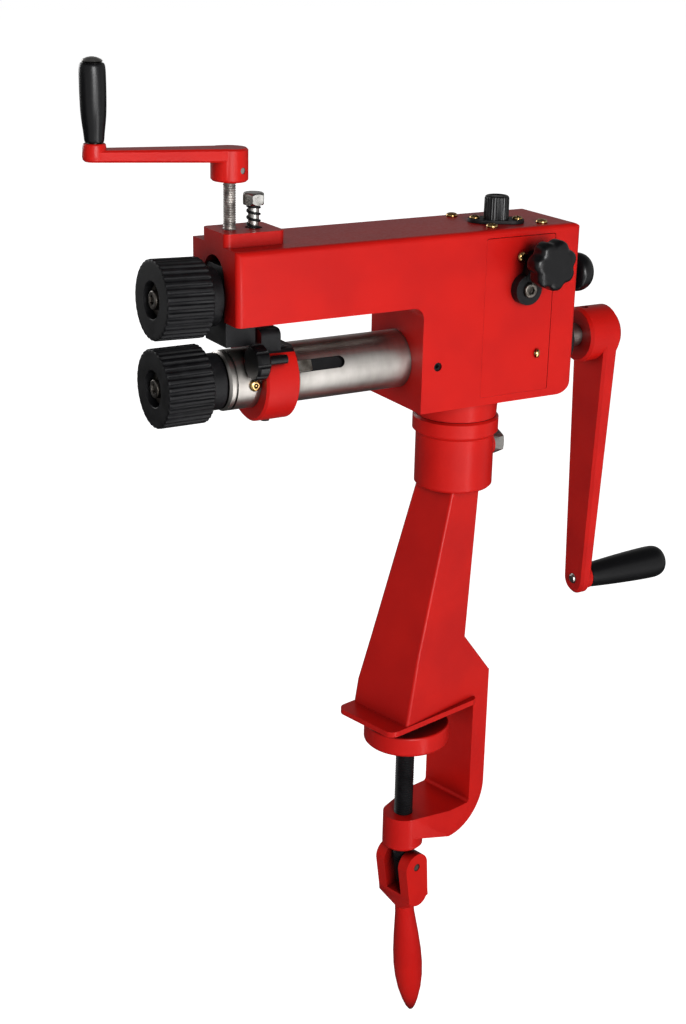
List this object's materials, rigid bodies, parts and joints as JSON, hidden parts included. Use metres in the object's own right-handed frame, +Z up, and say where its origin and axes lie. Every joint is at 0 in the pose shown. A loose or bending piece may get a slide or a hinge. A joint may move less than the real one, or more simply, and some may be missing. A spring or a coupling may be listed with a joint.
{
  "type": "bead roller",
  "caption": "Bench clamped hand cranked bead roller: two geared shafts with fluted rolls in a deep throat head, a screw press, an edge stop and a swivelling stand.",
  "frame": {"origin": "underside of the bench flange, on the axis of the socket that the head turns in", "axes": "+X along the roll shafts, from the rolls to the drive crank; +Z up, along the socket's axis"},
  "size_m": [0.4742, 0.0956, 0.7387],
  "materials": {
    "red_enamel": "gloss enamel on cast iron",
    "black_steel": "black oxide",
    "black_plastic": "moulded, satin",
    "bright_steel": "turned and ground",
    "brass": "turned",
    "bronze": "sintered"
  },
  "bodies": {
    "stand": {"stand_casting": "red_enamel", "socket_bolt": "bright_steel"},
    "clamp_pad": {"clamp_pad": "red_enamel"},
    "clamp_screw": {"clamp_screw": "black_steel"},
    "fork_handle": {"fork_handle": "red_enamel", "fork_pin": "bright_steel"},
    "head": {"head_casting": "red_enamel", "side_cover": "red_enamel", "cover_screws": "brass", "lower_tube": "bright_steel", "tube_set_screw": "black_steel", "front_bush": "bronze", "rear_bush": "bronze", "rear_bearing_cap": "black_steel", "oil_cups": "brass", "oil_cap_flange": "black_steel", "flange_screws": "bright_steel", "lock_lug": "black_steel", "lug_screw": "bright_steel", "lift_spring": "black_steel"},
    "oil_cap": {"oil_cap": "black_plastic"},
    "star_knob": {"star_knob": "black_plastic", "star_knob_stud": "bright_steel"},
    "edge_stop": {"edge_stop": "red_enamel", "stop_key": "bright_steel", "stop_set_screw": "black_steel"},
    "stop_thumb_screw": {"stop_thumb_screw": "black_plastic"},
    "lower_drive": {"lower_shaft": "bright_steel", "lower_gear": "bright_steel", "lower_gear_key": "bright_steel", "lower_roll": "black_steel", "lower_roll_spacer": "black_steel", "lower_roll_washer": "bright_steel", "lower_roll_screw": "bright_steel", "drive_crank": "red_enamel", "crank_set_screw": "black_steel", "crank_spindle": "bright_steel"},
    "drive_grip": {"drive_grip": "black_plastic"},
    "upper_carrier": {"pivot_bearing": "bronze", "bearing_block": "bright_steel", "block_bush": "bronze"},
    "upper_drive": {"upper_shaft": "bright_steel", "upper_gear": "bright_steel", "upper_gear_key": "bright_steel", "upper_roll": "black_steel", "upper_roll_washer": "bright_steel", "upper_roll_screw": "bright_steel"},
    "rear_knob": {"rear_knob": "black_plastic"},
    "press_foot": {"press_foot": "bright_steel"},
    "press_crank": {"press_screw": "bright_steel", "press_crank": "red_enamel", "press_crank_pin": "bright_steel", "press_spindle": "bright_steel"},
    "press_grip": {"press_grip": "black_plastic", "press_grip_cap": "bright_steel"},
    "lift_bolt": {"lift_bolt": "bright_steel"}
  },
  "joints": [
    {"name": "head_swivel", "type": "hinge", "parent": "stand", "child": "head", "pos_m": [0, 0, 0.219], "axis": [0, 0, 1], "continuous": true},
    {"name": "clamp_pad_slide", "type": "slide", "parent": "stand", "child": "clamp_pad", "axis": [0, 0, 1], "range_m": [-0.052, 0.0015]},
    {"name": "clamp_screw_turn", "type": "hinge", "parent": "clamp_pad", "child": "clamp_screw", "pos_m": [-0.03755, -0.0085, -0.025], "axis": [0, 0, 1], "range_deg": [-9375, 280]},
    {"name": "fork_handle_swing", "type": "hinge", "parent": "clamp_screw", "child": "fork_handle", "pos_m": [-0.03755, -0.0085, -0.1275], "axis": [-0.2207, 0.9753, 0], "range_deg": [-83.5, 96.5]},
    {"name": "oil_cap_turn", "type": "hinge", "parent": "head", "child": "oil_cap", "pos_m": [0.0215, -0.007, 0.3551], "axis": [0, 0, 1], "range_deg": [0, 720]},
    {"name": "star_knob_turn", "type": "hinge", "parent": "head", "child": "star_knob", "pos_m": [0.0345, -0.0493, 0.331], "axis": [0, 1, 0], "range_deg": [-360, 360]},
    {"name": "edge_stop_slide", "type": "slide", "parent": "head", "child": "edge_stop", "axis": [1, 0, 0], "range_m": [0, 0.023]},
    {"name": "stop_thumb_turn", "type": "hinge", "parent": "edge_stop", "child": "stop_thumb_screw", "pos_m": [-0.1665, -0.0275, 0.281], "axis": [1, 0, 0], "range_deg": [-360, 360]},
    {"name": "drive_turn", "type": "hinge", "parent": "head", "child": "lower_drive", "pos_m": [0, 0, 0.264], "axis": [1, 0, 0], "continuous": true},
    {"name": "drive_grip_spin", "type": "hinge", "parent": "lower_drive", "child": "drive_grip", "pos_m": [0.18, 0, 0.071], "axis": [1, 0, 0], "continuous": true},
    {"name": "upper_tilt", "type": "hinge", "parent": "head", "child": "upper_carrier", "pos_m": [0.062, 0, 0.3115], "axis": [0, 1, 0], "range_deg": [-1.04, 0.01]},
    {"name": "upper_turn", "type": "hinge", "parent": "upper_carrier", "child": "upper_drive", "pos_m": [0.062, 0, 0.3115], "axis": [0.9995, 0, -0.0323], "continuous": true},
    {"name": "rear_knob_turn", "type": "hinge", "parent": "upper_carrier", "child": "rear_knob", "pos_m": [0.09698, 0, 0.31037], "axis": [0.9995, 0, -0.0323], "range_deg": [-360, 360]},
    {"name": "press_foot_slide", "type": "slide", "parent": "head", "child": "press_foot", "axis": [0, 0, 1], "range_m": [-0.0043, 0]},
    {"name": "press_turn", "type": "hinge", "parent": "press_foot", "child": "press_crank", "pos_m": [-0.1768, 0, 0.38], "axis": [0, 0, 1], "range_deg": [-1038, 6]},
    {"name": "press_grip_spin", "type": "hinge", "parent": "press_crank", "child": "press_grip", "pos_m": [-0.2653, 0, 0.44], "axis": [0, 0, 1], "continuous": true},
    {"name": "lift_bolt_slide", "type": "slide", "parent": "head", "child": "lift_bolt", "axis": [0, 0, 1], "range_m": [-0.00405, 0.00002], "deforming": ["lift_spring"]}
  ],
  "couplings": [
    {"joint": "clamp_screw_turn", "follows": "clamp_pad_slide", "rad_per_m": 3141.6},
    {"joint": "upper_turn", "follows": "drive_turn", "ratio": -1},
    {"joint": "press_turn", "follows": "press_foot_slide", "rad_per_m": 4188.8},
    {"joint": "upper_tilt", "follows": "press_foot_slide", "rad_per_m": 4.1876},
    {"joint": "lift_bolt_slide", "follows": "press_foot_slide", "ratio": 0.92965}
  ]
}
